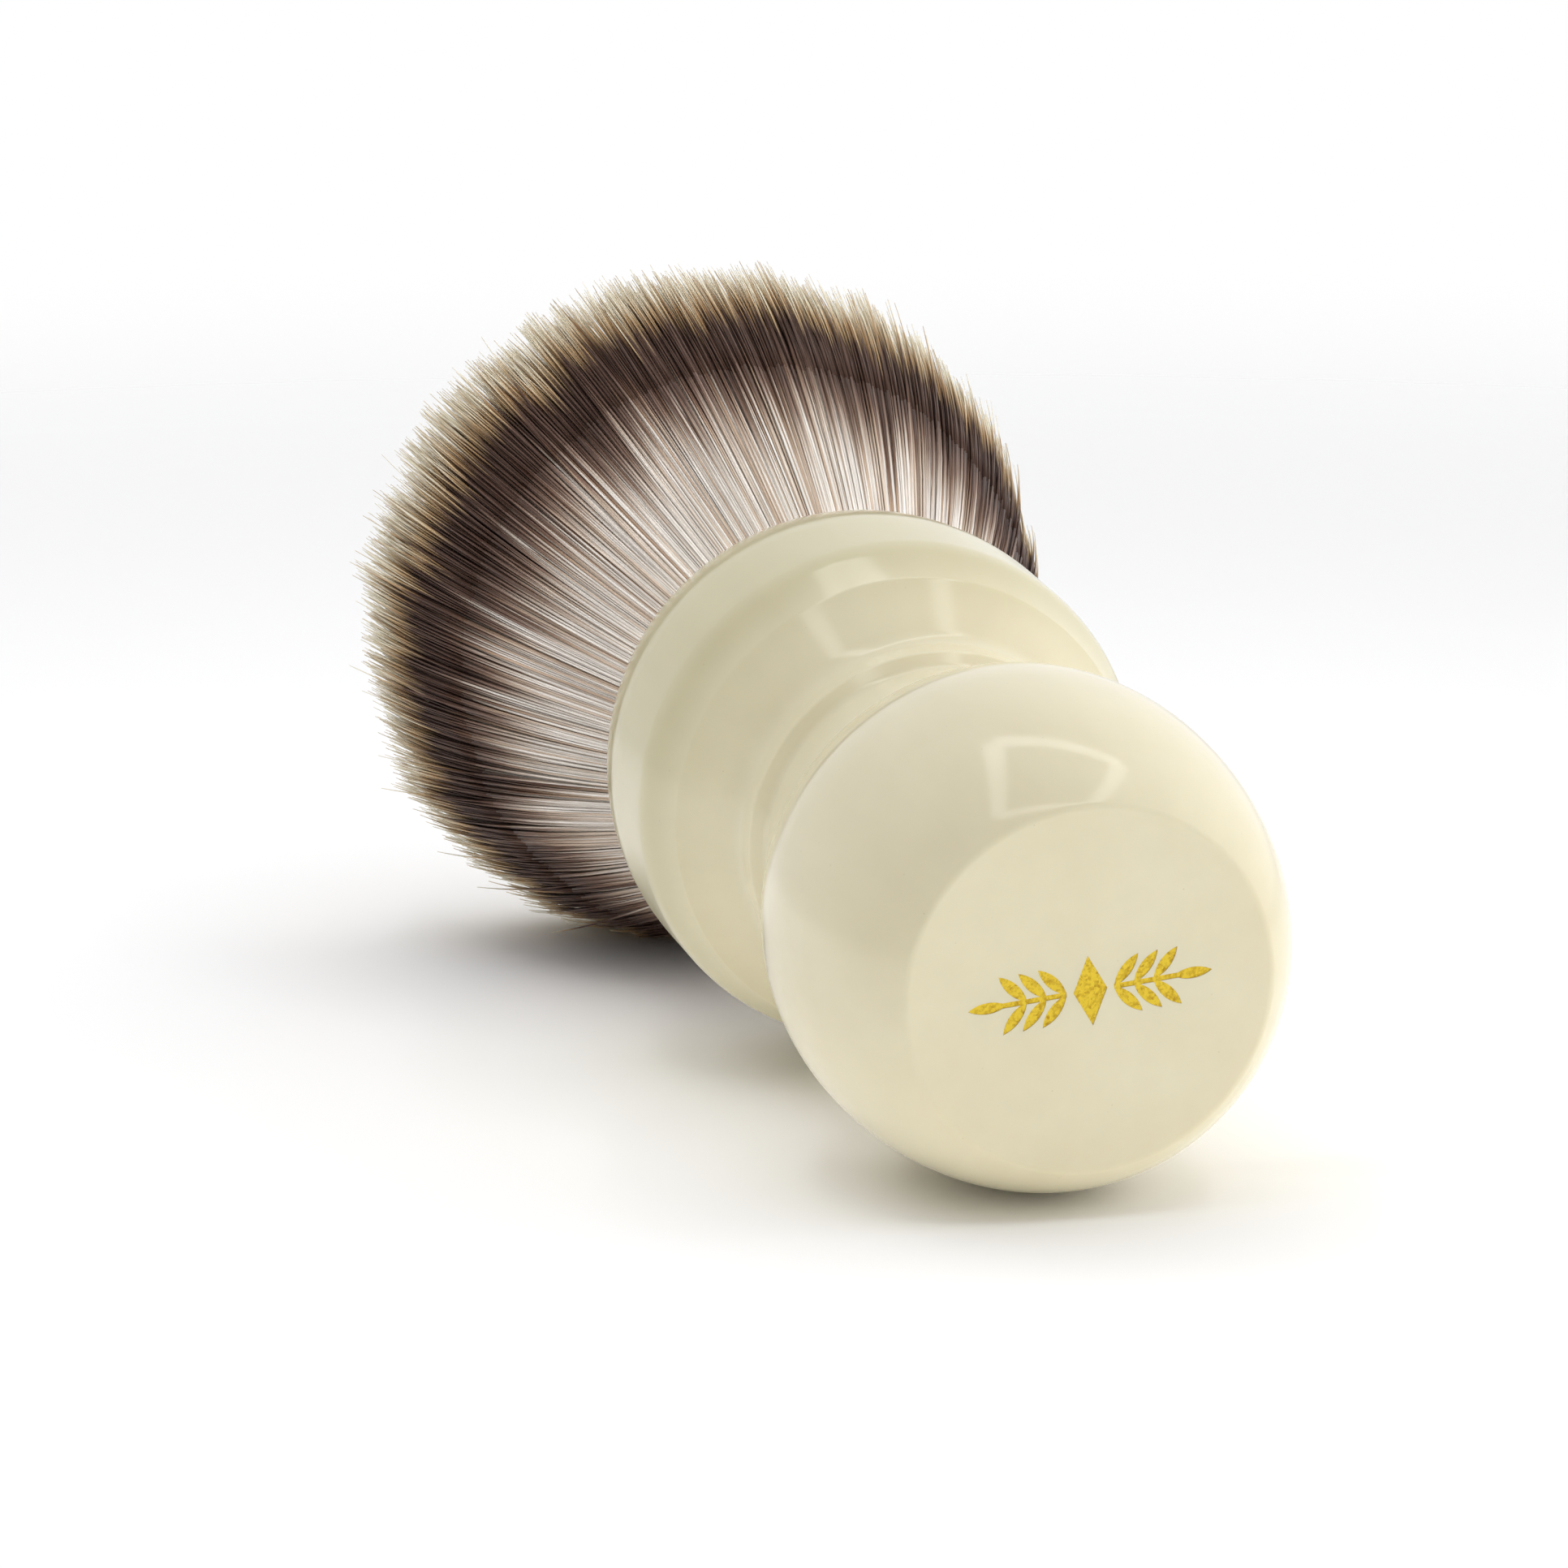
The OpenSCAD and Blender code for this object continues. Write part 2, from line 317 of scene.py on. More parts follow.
def growStrands(s):
    # Ring centres for every strand. A place in the unit disc is scaled by the fan's radius at each
    # height h: mouth + (bloom - mouth) (straight x + (1 - straight) sin 90x), where x = h / bloomH.
    draw = np.random.default_rng(s["seed"])
    mouthR = ringHigh.x - s["rootGap"]
    bloomR, domeH = headHigh.x, headHigh.z - handleHigh.z - s["bloomH"]
    n = s["strands"]
    golden = math.pi * (3 - math.sqrt(5))
    order = np.arange(n) + 0.5
    share = np.sqrt(order / n)
    turn = order * golden
    own = np.column_stack([share * np.cos(turn), share * np.sin(turn)])
    own += draw.normal(0, s["rootJitter"] / math.sqrt(n), (n, 2))
    reach = np.linalg.norm(own, axis=1)
    own /= np.maximum(reach, 1)[:, None]
    reach = np.minimum(reach, 1)

    clump, clumpId = clumpCentres(own, s["clumpSize"] / bloomR, s["cellJitter"], draw)
    lock, lockId = clumpCentres(own, s["locksSize"] / bloomR, s["cellJitter"], draw)
    pull = s["clumpPull"] * draw.uniform(*s["pullRange"], clumpId.max() + 1)[clumpId]
    clumpLength = draw.normal(0, s["clumpRagged"], clumpId.max() + 1)[clumpId]
    top = s["bloomH"] + domeH * np.sqrt(1 - reach ** 2) + clumpLength
    top += np.clip(draw.normal(0, s["ragged"], n), *s["raggedLimits"])

    outer = reach > s["outerShare"]
    lower = np.array(lowerSteps) * s["cutH"] + 0 * top[:, None]
    upper = s["cutH"] + np.array(upperSteps) * (top[:, None] - s["cutH"])
    h = np.concatenate([np.full((n, 1), -s["rootDrop"]), lower, upper], axis=1)
    h[~outer, len(lowerSteps)] *= draw.uniform(*s["innerStart"], (~outer).sum())
    t = np.clip(h / top[:, None], 0, 1)

    wander = draw.normal(0, s["stray"] / bloomR, (n, 2))
    wander *= np.where(draw.random(n) < s["strayShare"], s["strayMore"], 1.0)[:, None]
    wavePhase = draw.uniform(0, 2 * math.pi, (n, 1))
    wave = s["wave"] / bloomR * np.sin(wavePhase + s["waveAngle"] * t)
    squared = (t ** 2)[..., None]
    place = own[:, None] + squared * pull[:, None, None] * (clump - own)[:, None]
    place = place + squared * s["locksPull"] * (lock - own)[:, None]
    place = place + squared * wander[:, None] + (wave * t)[..., None] * own[:, None, ::-1]
    x = np.clip(h / s["bloomH"], 0, None)
    bend = np.sin(np.radians(90 * np.minimum(x, 1)))
    fan = mouthR + (bloomR - mouthR) * (s["straight"] * x + (1 - s["straight"]) * bend)
    centres = np.concatenate([place * fan[..., None], (handleHigh.z + h)[..., None]], axis=-1)

    taperFrom = 1 - s["taper"]
    narrowed = np.clip((t - taperFrom) / s["taper"], 0, 1) ** s["taperPower"]
    thickness = s["thick"] * draw.uniform(*s["thickRange"], (n, 1))
    radius = thickness / 2 * (1 - narrowed) + s["tipThick"] / 2 * narrowed
    level = 0.5 * draw.random(lockId.max() + 1)[lockId] + 0.5 * draw.random(clumpId.max() + 1)[clumpId]
    column = np.floor(level * s["columns"] / s["group"]).astype(int) * s["group"]
    column += draw.integers(0, s["group"], n)
    spin = draw.uniform(0, 2 * math.pi, n)
    sector = (turn % (2 * math.pi)) / (2 * math.pi)
    return dict(centres=centres, radius=radius, column=column, spin=spin, outer=outer, sector=sector)


def strandMesh(name, strands, chosen, first, last, s):
    # Triangular tubes through the rings first to last: centre + radius (cos a along + sin a across).
    centres = strands["centres"][chosen]
    tangent = np.gradient(centres, axis=1)
    tangent /= np.linalg.norm(tangent, axis=-1, keepdims=True)
    along = np.cross(tangent, [0.37, 0.61, 0.05])
    along /= np.linalg.norm(along, axis=-1, keepdims=True)
    across = np.cross(tangent, along)
    step = np.linalg.norm(np.diff(centres, axis=1), axis=-1)
    toTip = np.concatenate([np.cumsum(step[:, ::-1], axis=1)[:, ::-1], 0 * step[:, :1]], axis=1)
    rings = slice(first, last + 1)
    centres, along, across, toTip = (x[:, rings] for x in (centres, along, across, toTip))
    radius = strands["radius"][chosen][:, rings, None, None]
    a = strands["spin"][chosen][:, None] + np.arange(3) * 2 * math.pi / 3
    cos, sin = np.cos(a)[:, None, :, None], np.sin(a)[:, None, :, None]
    points = centres[:, :, None] + radius * (cos * along[:, :, None] + sin * across[:, :, None])

    count, ringCount = points.shape[:2]
    base = (np.arange(count) * ringCount * 3)[:, None, None]
    i, j = np.arange(ringCount - 1)[None, :, None], np.arange(3)[None, None, :]
    k = (j + 1) % 3
    quads = np.stack(np.broadcast_arrays(base + i * 3 + j, base + i * 3 + k,
                                         base + i * 3 + 3 + k, base + i * 3 + 3 + j), axis=-1)
    ends = base[:, 0] + np.array([[2, 1, 0]])
    tips = base[:, 0] + (ringCount - 1) * 3 + np.array([[0, 1, 2]])

    width = 1 / s["columns"]  # a strand's three sides lie in the middle three fifths of its column
    left = (strands["column"][chosen][:, None, None] + 0.2 + 0.2 * j) * width + 0 * i
    right = left + 0.2 * width
    low = toTip[:, :-1, None] / s["mapLength"] + 0 * j
    high = toTip[:, 1:, None] / s["mapLength"] + 0 * j
    sideUv = np.stack([np.stack([left, low], -1), np.stack([right, low], -1),
                       np.stack([right, high], -1), np.stack([left, high], -1)], axis=-2)
    middle = (strands["column"][chosen][:, None] + np.array([[0.3, 0.5, 0.7]])) * width
    tilt = np.array([[0.0, 0.01, 0.0]]) / 10
    endUv = np.stack([middle, toTip[:, :1] / s["mapLength"] + tilt], axis=-1)
    tipUv = np.stack([middle, toTip[:, -1:] / s["mapLength"] + tilt], axis=-1)
    uv = np.concatenate([x.reshape(-1, 2) for x in (sideUv, endUv, tipUv)])
    smooth = np.repeat([True, False], [count * (ringCount - 1) * 3, 2 * count])  # the ends are flat
    return meshObject(name, points.reshape(-1, 3), [quads.reshape(-1, 4), ends, tips], smooth, uv)


strands = growStrands(fibre)
cutRing = len(lowerSteps)
lastRing = cutRing + len(upperSteps)
cutZ = (handleHigh.z + fibre["cutH"]) * mm
blends = {  # piece name: (first ring, last ring, two bodies, and the heights given for a bend's start and end)
    "fibresLower": (0, cutRing, "handle", "lower_bundle", handleHigh.z * mm, cutZ),
    "fibresUpper": (cutRing, lastRing, "lower_bundle", "upper_bundle", cutZ, headHigh.z * mm),
    "fibresInner": (cutRing, lastRing, "lower_bundle", "upper_bundle", cutZ, headHigh.z * mm),
}
standsFor = {"fibresLower_0": ["fibre_root", "fibre_middle"], "fibresUpper_0": ["fibre_head"]}
fibrePieces = []
for kind, parts in fibre["pieces"].items():
    first, last, bodyA, bodyB, bendStart, bendEnd = blends[kind]
    wanted = strands["outer"] if kind != "fibresInner" else ~strands["outer"]
    for part in range(parts):
        name = f"{kind}_{part}"
        inSector = np.floor(strands["sector"] * parts).astype(int) == part
        piece = strandMesh(name, strands, np.flatnonzero(wanted & inSector), first, last, fibre)
        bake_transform(piece)
        if name in standsFor:
            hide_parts(*standsFor[name])
        fibrePieces.append(piece)
print("fibres grown:", fibre["strands"], "strands in", len(fibrePieces), "pieces")


# Materials

def toLinear(code):
    # An sRGB hex colour as linear RGBA.
    values = np.array([int(code[i:i + 2], 16) for i in (1, 3, 5)]) / 255
    linear = np.where(values <= 0.04045, values / 12.92, ((values + 0.055) / 1.055) ** 2.4)
    return (*linear.tolist(), 1.0)


def addNode(tree, kind, settings=None, inputs=None, stops=None):
    # Adds one node: its own settings, its inputs as values or as sockets to link, and ramp stops.
    node = tree.nodes.new(kind)
    for key, value in (settings or {}).items():
        setattr(node, key, value)
    for key, value in (inputs or {}).items():
        if isinstance(value, bpy.types.NodeSocket):
            tree.links.new(value, node.inputs[key])
        else:
            node.inputs[key].default_value = value
    if stops:
        ramp = node.color_ramp
        while len(ramp.elements) < len(stops):
            ramp.elements.new(1.0)
        for element, (place, colour) in zip(ramp.elements, stops):
            element.position = place
            element.color = colour
    return node


def newMaterial(name, **shaderValues):
    # A material with one Principled shader, its uniform values set straight on the sockets.
    material = bpy.data.materials.new(name)
    material.use_nodes = True
    tree = material.node_tree
    tree.nodes.clear()
    shader = addNode(tree, "ShaderNodeBsdfPrincipled", inputs={
        key.replace("_", " "): value for key, value in shaderValues.items()})
    addNode(tree, "ShaderNodeOutputMaterial", inputs={"Surface": shader.outputs["BSDF"]})
    return material, tree, shader


resin = dict(
    pale="#F2E9C9", deep="#EEE4C2",  # the two shades that drift through the casting
    collarShadeColour="#E9E9E0", collarShadeStart=43.0, collarShadeFull=49.0,  # painted shade: the colour darkens up the handle between these two heights, over the flare and collar
    cloud=11.0,  # size of the drifts
    streak=2.6, streakStretch=0.12,  # faint grain along the rod it was turned from
    streakDark=0.985, streakLight=1.01,
    speck=1.6, speckColour="#C9B98E", speckShows=0.35,
    smudge=7.0, shine=0.09, dull=0.17,
    ripple=2.2, rippleHeight=0.0012,  # buffing leaves the gloss very slightly uneven
)


def castIvoryResin(s):
    # Cast polyester in an ivory shade, turned and buffed: a milky body under a wet-looking gloss.
    material, tree, shader = newMaterial(
        "castIvoryPolyesterBuffed", IOR=1.54, Subsurface_Weight=0.18,
        Subsurface_Radius=(1.0, 0.75, 0.45), Subsurface_Scale=1.6 * mm)
    place = addNode(tree, "ShaderNodeTexCoord").outputs["Object"]
    cloud = addNode(tree, "ShaderNodeTexNoise", {}, {
        "Vector": place, "Scale": 1 / (s["cloud"] * mm), "Detail": 3.0, "Roughness": 0.45, "Distortion": 0.6})
    body = addNode(tree, "ShaderNodeValToRGB", {}, {"Fac": cloud.outputs["Fac"]}, stops=[
        (0.32, toLinear(s["deep"])), (0.68, toLinear(s["pale"]))])
    long = addNode(tree, "ShaderNodeMapping", {}, {"Vector": place, "Scale": (1.0, 1.0, s["streakStretch"])})
    streak = addNode(tree, "ShaderNodeTexNoise", {}, {
        "Vector": long.outputs["Vector"], "Scale": 1 / (s["streak"] * mm), "Detail": 2.0})
    streakShade = addNode(tree, "ShaderNodeMapRange", {}, {
        "Value": streak.outputs["Fac"], "From Min": 0.3, "From Max": 0.7,
        "To Min": s["streakDark"], "To Max": s["streakLight"]})
    shaded = addNode(tree, "ShaderNodeVectorMath", {"operation": "SCALE"}, {
        0: body.outputs["Color"], "Scale": streakShade.outputs["Result"]})
    dots = addNode(tree, "ShaderNodeTexVoronoi", {}, {"Vector": place, "Scale": 1 / (s["speck"] * mm)})
    speck = addNode(tree, "ShaderNodeMapRange", {}, {
        "Value": dots.outputs["Distance"], "From Min": 0.02, "From Max": 0.05,
        "To Min": s["speckShows"], "To Max": 0.0})
    colour = addNode(tree, "ShaderNodeMix", {"data_type": "RGBA"}, {
        "Factor": speck.outputs["Result"], 6: shaded.outputs["Vector"], 7: toLinear(s["speckColour"])})
    height = addNode(tree, "ShaderNodeSeparateXYZ", {}, {"Vector": place})
    # painted shade: the body colour is multiplied darker towards the flare and collar, standing in for the
    # shade that falls there
    collarShadeMask = addNode(tree, "ShaderNodeMapRange", {"interpolation_type": "SMOOTHSTEP"}, {
        "Value": height.outputs["Z"], "From Min": s["collarShadeStart"] * mm, "From Max": s["collarShadeFull"] * mm})
    collarShaded = addNode(tree, "ShaderNodeMix", {"data_type": "RGBA", "blend_type": "MULTIPLY"}, {
        "Factor": collarShadeMask.outputs["Result"], 6: colour.outputs[2], 7: toLinear(s["collarShadeColour"])})
    tree.links.new(collarShaded.outputs[2], shader.inputs["Base Color"])
    smudge = addNode(tree, "ShaderNodeTexNoise", {}, {
        "Vector": place, "Scale": 1 / (s["smudge"] * mm), "Detail": 5.0, "Roughness": 0.6})
    gloss = addNode(tree, "ShaderNodeMapRange", {}, {
        "Value": smudge.outputs["Fac"], "From Min": 0.35, "From Max": 0.7,
        "To Min": s["shine"], "To Max": s["dull"]})
    tree.links.new(gloss.outputs["Result"], shader.inputs["Roughness"])
    ripple = addNode(tree, "ShaderNodeTexNoise", {}, {
        "Vector": place, "Scale": 1 / (s["ripple"] * mm), "Detail": 1.0})
    bump = addNode(tree, "ShaderNodeBump", {}, {
        "Height": ripple.outputs["Fac"], "Strength": 1.0, "Distance": s["rippleHeight"] * mm})
    tree.links.new(bump.outputs["Normal"], shader.inputs["Normal"])
    return material


gold = dict(
    bright="#E8C93C", deep="#B98F1E", tarnish="#5A4514",
    flake=0.16, grain=0.5, pinhole=0.55, relief=0.02,
)


def goldLacquer(s):
    # Metallic gold lacquer wiped into the engraving: satin, finely flaked, with a few pinholes.
    material, tree, shader = newMaterial("goldLacquerWiped", Metallic=0.75)
    place = addNode(tree, "ShaderNodeTexCoord").outputs["Object"]
    flakes = addNode(tree, "ShaderNodeTexVoronoi", {}, {"Vector": place, "Scale": 1 / (s["flake"] * mm)})
    split = addNode(tree, "ShaderNodeSeparateColor", {}, {"Color": flakes.outputs["Color"]})
    grain = addNode(tree, "ShaderNodeTexNoise", {}, {
        "Vector": place, "Scale": 1 / (s["grain"] * mm), "Detail": 3.0})
    both = addNode(tree, "ShaderNodeMath", {"operation": "MULTIPLY_ADD"}, {
        0: split.outputs["Red"], 1: 0.35, 2: grain.outputs["Fac"]})
    shade = addNode(tree, "ShaderNodeValToRGB", {}, {"Fac": both.outputs["Value"]}, stops=[
        (0.35, toLinear(s["deep"])), (0.75, toLinear(s["bright"]))])
    holes = addNode(tree, "ShaderNodeTexNoise", {}, {
        "Vector": place, "Scale": 1 / (s["pinhole"] * mm), "Detail": 4.0, "Roughness": 0.7})
    worn = addNode(tree, "ShaderNodeMapRange", {}, {
        "Value": holes.outputs["Fac"], "From Min": 0.68, "From Max": 0.74, "To Min": 0.0, "To Max": 0.8})
    colour = addNode(tree, "ShaderNodeMix", {"data_type": "RGBA"}, {
        "Factor": worn.outputs["Result"], 6: shade.outputs["Color"], 7: toLinear(s["tarnish"])})
    tree.links.new(colour.outputs[2], shader.inputs["Base Color"])
    rough = addNode(tree, "ShaderNodeMapRange", {}, {
        "Value": split.outputs["Green"], "To Min": 0.3, "To Max": 0.5})
    tree.links.new(rough.outputs["Result"], shader.inputs["Roughness"])
    bump = addNode(tree, "ShaderNodeBump", {}, {
        "Height": both.outputs["Value"], "Strength": 0.6, "Distance": s["relief"] * mm})
    tree.links.new(bump.outputs["Normal"], shader.inputs["Normal"])
    return material


epoxy = dict(clear="#D8C79A", cloudy="#B49C66", cloud=3.0, bubble=0.9, bubbleDepth=0.05)


def epoxyBed(s):
    # Two-part epoxy, mixed by hand: amber, glossy and full of small trapped bubbles.
    material, tree, shader = newMaterial(
        "epoxyHandMixed", IOR=1.55, Roughness=0.2, Transmission_Weight=0.25,
        Subsurface_Weight=0.1, Subsurface_Scale=1.0 * mm)
    place = addNode(tree, "ShaderNodeTexCoord").outputs["Object"]
    cloud = addNode(tree, "ShaderNodeTexNoise", {}, {
        "Vector": place, "Scale": 1 / (s["cloud"] * mm), "Detail": 4.0})
    shade = addNode(tree, "ShaderNodeValToRGB", {}, {"Fac": cloud.outputs["Fac"]}, stops=[
        (0.35, toLinear(s["cloudy"])), (0.65, toLinear(s["clear"]))])
    tree.links.new(shade.outputs["Color"], shader.inputs["Base Color"])
    bubbles = addNode(tree, "ShaderNodeTexVoronoi", {}, {"Vector": place, "Scale": 1 / (s["bubble"] * mm)})
    pits = addNode(tree, "ShaderNodeMapRange", {}, {
        "Value": bubbles.outputs["Distance"], "From Min": 0.1, "From Max": 0.25})
    bump = addNode(tree, "ShaderNodeBump", {}, {
        "Height": pits.outputs["Result"], "Strength": 0.8, "Distance": s["bubbleDepth"] * mm})
    tree.links.new(bump.outputs["Normal"], shader.inputs["Normal"])
    return material


ringPlastic = dict(dark="#2C2C2E", light="#3E3E41", cloud=4.0, grit=0.25, gritDepth=0.012)


def mouldedRing(s):
    # Black polypropylene, injection moulded: satin, with the fine spark-eroded texture of its mould.
    material, tree, shader = newMaterial("blackPolypropyleneMoulded", IOR=1.49)
    place = addNode(tree, "ShaderNodeTexCoord").outputs["Object"]
    cloud = addNode(tree, "ShaderNodeTexNoise", {}, {
        "Vector": place, "Scale": 1 / (s["cloud"] * mm), "Detail": 3.0})
    shade = addNode(tree, "ShaderNodeValToRGB", {}, {"Fac": cloud.outputs["Fac"]}, stops=[
        (0.3, toLinear(s["dark"])), (0.7, toLinear(s["light"]))])
    tree.links.new(shade.outputs["Color"], shader.inputs["Base Color"])
    rough = addNode(tree, "ShaderNodeMapRange", {}, {
        "Value": cloud.outputs["Fac"], "To Min": 0.4, "To Max": 0.6})
    tree.links.new(rough.outputs["Result"], shader.inputs["Roughness"])
    grit = addNode(tree, "ShaderNodeTexNoise", {}, {"Vector": place, "Scale": 1 / (s["grit"] * mm)})
    bump = addNode(tree, "ShaderNodeBump", {}, {
        "Height": grit.outputs["Fac"], "Strength": 0.7, "Distance": s["gritDepth"] * mm})
    tree.links.new(bump.outputs["Normal"], shader.inputs["Normal"])
    return material


plugResin = dict(matrix="#8C7F68", ends="#D2C7B2", end=0.32, relief=0.04, cloud=5.0)


def plugWithFibreEnds(s):
    # Casting resin poured over the cut fibre ends, which show in it as a field of pale dots.
    material, tree, shader = newMaterial("castPlugWithFibreEnds", IOR=1.52, Roughness=0.45)
    place = addNode(tree, "ShaderNodeTexCoord").outputs["Object"]
    ends = addNode(tree, "ShaderNodeTexVoronoi", {}, {"Vector": place, "Scale": 1 / (s["end"] * mm)})
    cloud = addNode(tree, "ShaderNodeTexNoise", {}, {
        "Vector": place, "Scale": 1 / (s["cloud"] * mm), "Detail": 3.0})
    edge = addNode(tree, "ShaderNodeMath", {"operation": "MULTIPLY_ADD"}, {
        0: cloud.outputs["Fac"], 1: 0.3, 2: ends.outputs["Distance"]})
    shade = addNode(tree, "ShaderNodeValToRGB", {}, {"Fac": edge.outputs["Value"]}, stops=[
        (0.45, toLinear(s["ends"])), (0.62, toLinear(s["matrix"]))])
    tree.links.new(shade.outputs["Color"], shader.inputs["Base Color"])
    bump = addNode(tree, "ShaderNodeBump", {"invert": True}, {
        "Height": edge.outputs["Value"], "Strength": 0.6, "Distance": s["relief"] * mm})
    tree.links.new(bump.outputs["Normal"], shader.inputs["Normal"])
    return material


fibreLook = dict(
    tip="#FBF3DC", amber="#CFB084", dark="#5C443A", umber="#957A6B", fawn="#DCCCBD", cream="#FFF8F0",
    bands=[("tip", 0.0), ("tip", 3.2), ("amber", 6.0), ("dark", 9.0), ("dark", 14.5),
           ("umber", 18.5), ("fawn", 22.0), ("cream", 26.0)],  # millimetres from the tip
    stretchGroup=0.4, stretchStrand=0.3,  # how much the bands stretch between clumps and between strands
    lengthShade=9.0,  # length of the lighter and darker stretches along a strand
    shadeDark=0.82, shadeLight=1.12,
    rootTints=[(0.0, "#CDB8A6"), (0.18, "#E4D8CC"), (0.55, "#FFFFFF"), (1.0, "#FFFFFF")],
)


def dyedFibre(s, growth):
    # Synthetic bristle (PBT) dyed in bands like badger hair: cream root, dark band, pale fine tips.
    # The map's columns are strand variants, and its height is the distance from the tip.
    material, tree, shader = newMaterial(
        "pbtBristleDyedBands", IOR=1.53, Roughness=0.5, Specular_IOR_Level=0.25)
    mapped = addNode(tree, "ShaderNodeUVMap", {"uv_map": "OFBake"})
    split = addNode(tree, "ShaderNodeSeparateXYZ", {}, {"Vector": mapped.outputs["UV"]})
    scaled = addNode(tree, "ShaderNodeMath", {"operation": "MULTIPLY"}, {
        0: split.outputs["X"], 1: float(growth["columns"])})
    column = addNode(tree, "ShaderNodeMath", {"operation": "FLOOR"}, {0: scaled.outputs["Value"]})
    grouped = addNode(tree, "ShaderNodeMath", {"operation": "DIVIDE"}, {
        0: scaled.outputs["Value"], 1: float(growth["group"])})
    group = addNode(tree, "ShaderNodeMath", {"operation": "FLOOR"}, {0: grouped.outputs["Value"]})
    strandRandom = addNode(tree, "ShaderNodeTexWhiteNoise", {"noise_dimensions": "1D"}, {
        "W": column.outputs["Value"]})
    groupLevel = addNode(tree, "ShaderNodeMath", {"operation": "DIVIDE"}, {
        0: group.outputs["Value"], 1: growth["columns"] / growth["group"]})
    tint = addNode(tree, "ShaderNodeSeparateColor", {}, {"Color": strandRandom.outputs["Color"]})

    length = addNode(tree, "ShaderNodeMath", {"operation": "MULTIPLY"}, {
        0: split.outputs["Y"], 1: growth["mapLength"]})
    stretchA = addNode(tree, "ShaderNodeMath", {"operation": "MULTIPLY_ADD"}, {
        0: groupLevel.outputs["Value"], 1: s["stretchGroup"],
        2: 1 - (s["stretchGroup"] + s["stretchStrand"]) / 2})
    stretchB = addNode(tree, "ShaderNodeMath", {"operation": "MULTIPLY_ADD"}, {
        0: strandRandom.outputs["Value"], 1: s["stretchStrand"], 2: stretchA.outputs["Value"]})
    stretched = addNode(tree, "ShaderNodeMath", {"operation": "MULTIPLY"}, {
        0: length.outputs["Value"], 1: stretchB.outputs["Value"]})
    longest = s["bands"][-1][1]
    share = addNode(tree, "ShaderNodeMath", {"operation": "DIVIDE"}, {
        0: stretched.outputs["Value"], 1: longest})
    bands = addNode(tree, "ShaderNodeValToRGB", {}, {"Fac": share.outputs["Value"]}, stops=[
        (distance / longest, toLinear(s[name])) for name, distance in s["bands"]])

    rootTint = addNode(tree, "ShaderNodeValToRGB", {}, {"Fac": tint.outputs["Green"]}, stops=[
        (at, toLinear(colour)) for at, colour in s["rootTints"]])
    tinted = addNode(tree, "ShaderNodeMix", {"data_type": "RGBA", "blend_type": "MULTIPLY"}, {
        "Factor": 1.0, 6: bands.outputs["Color"], 7: rootTint.outputs["Color"]})
    far = addNode(tree, "ShaderNodeMath", {"operation": "MULTIPLY"}, {
        0: column.outputs["Value"], 1: 7.31})
    along = addNode(tree, "ShaderNodeMath", {"operation": "DIVIDE"}, {
        0: length.outputs["Value"], 1: s["lengthShade"]})
    noisePlace = addNode(tree, "ShaderNodeCombineXYZ", {}, {
        "X": far.outputs["Value"], "Y": along.outputs["Value"]})
    stretches = addNode(tree, "ShaderNodeTexNoise", {"noise_dimensions": "2D"}, {
        "Vector": noisePlace.outputs["Vector"], "Scale": 1.0, "Detail": 2.0})
    lightness = addNode(tree, "ShaderNodeMapRange", {}, {
        "Value": stretches.outputs["Fac"], "From Min": 0.25, "From Max": 0.75,
        "To Min": s["shadeDark"], "To Max": s["shadeLight"]})
    final = addNode(tree, "ShaderNodeVectorMath", {"operation": "SCALE"}, {
        0: tinted.outputs[2], "Scale": lightness.outputs["Result"]})
    tree.links.new(final.outputs["Vector"], shader.inputs["Base Color"])
    return material


def wear(piece, material):
    # Puts the material in every slot of the piece.
    piece.data.materials.clear()
    piece.data.materials.append(material)


def wearCad(node, material):
    # Puts the material in the slots of a CAD node's object, and leaves its mesh as it is.
    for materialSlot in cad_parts[node].material_slots:
        materialSlot.material = material


wear(handle, castIvoryResin(resin))
wearCad("base_inlay", goldLacquer(gold))
wearCad("socket_adhesive", epoxyBed(epoxy))
wearCad("knot_ring", mouldedRing(ringPlastic))
wearCad("knot_plug", plugWithFibreEnds(plugResin))
bristle = dyedFibre(fibreLook, fibre)
for piece in fibrePieces:
    wear(piece, bristle)
print("materials made:", len(bpy.data.materials))


# Stage: two pale sheets, each seen only from its own upper side. The brush lies on one, which
# also takes and returns light. The other is for views of the brush standing, and only shows.

stageLook = dict(
    size=1600.0, colour="#FDFDFE",
    clear=150.0, gone=420.0,  # the distances between which the sheet fades out
    under=0.3,  # how far the standing floor lies below the base
)


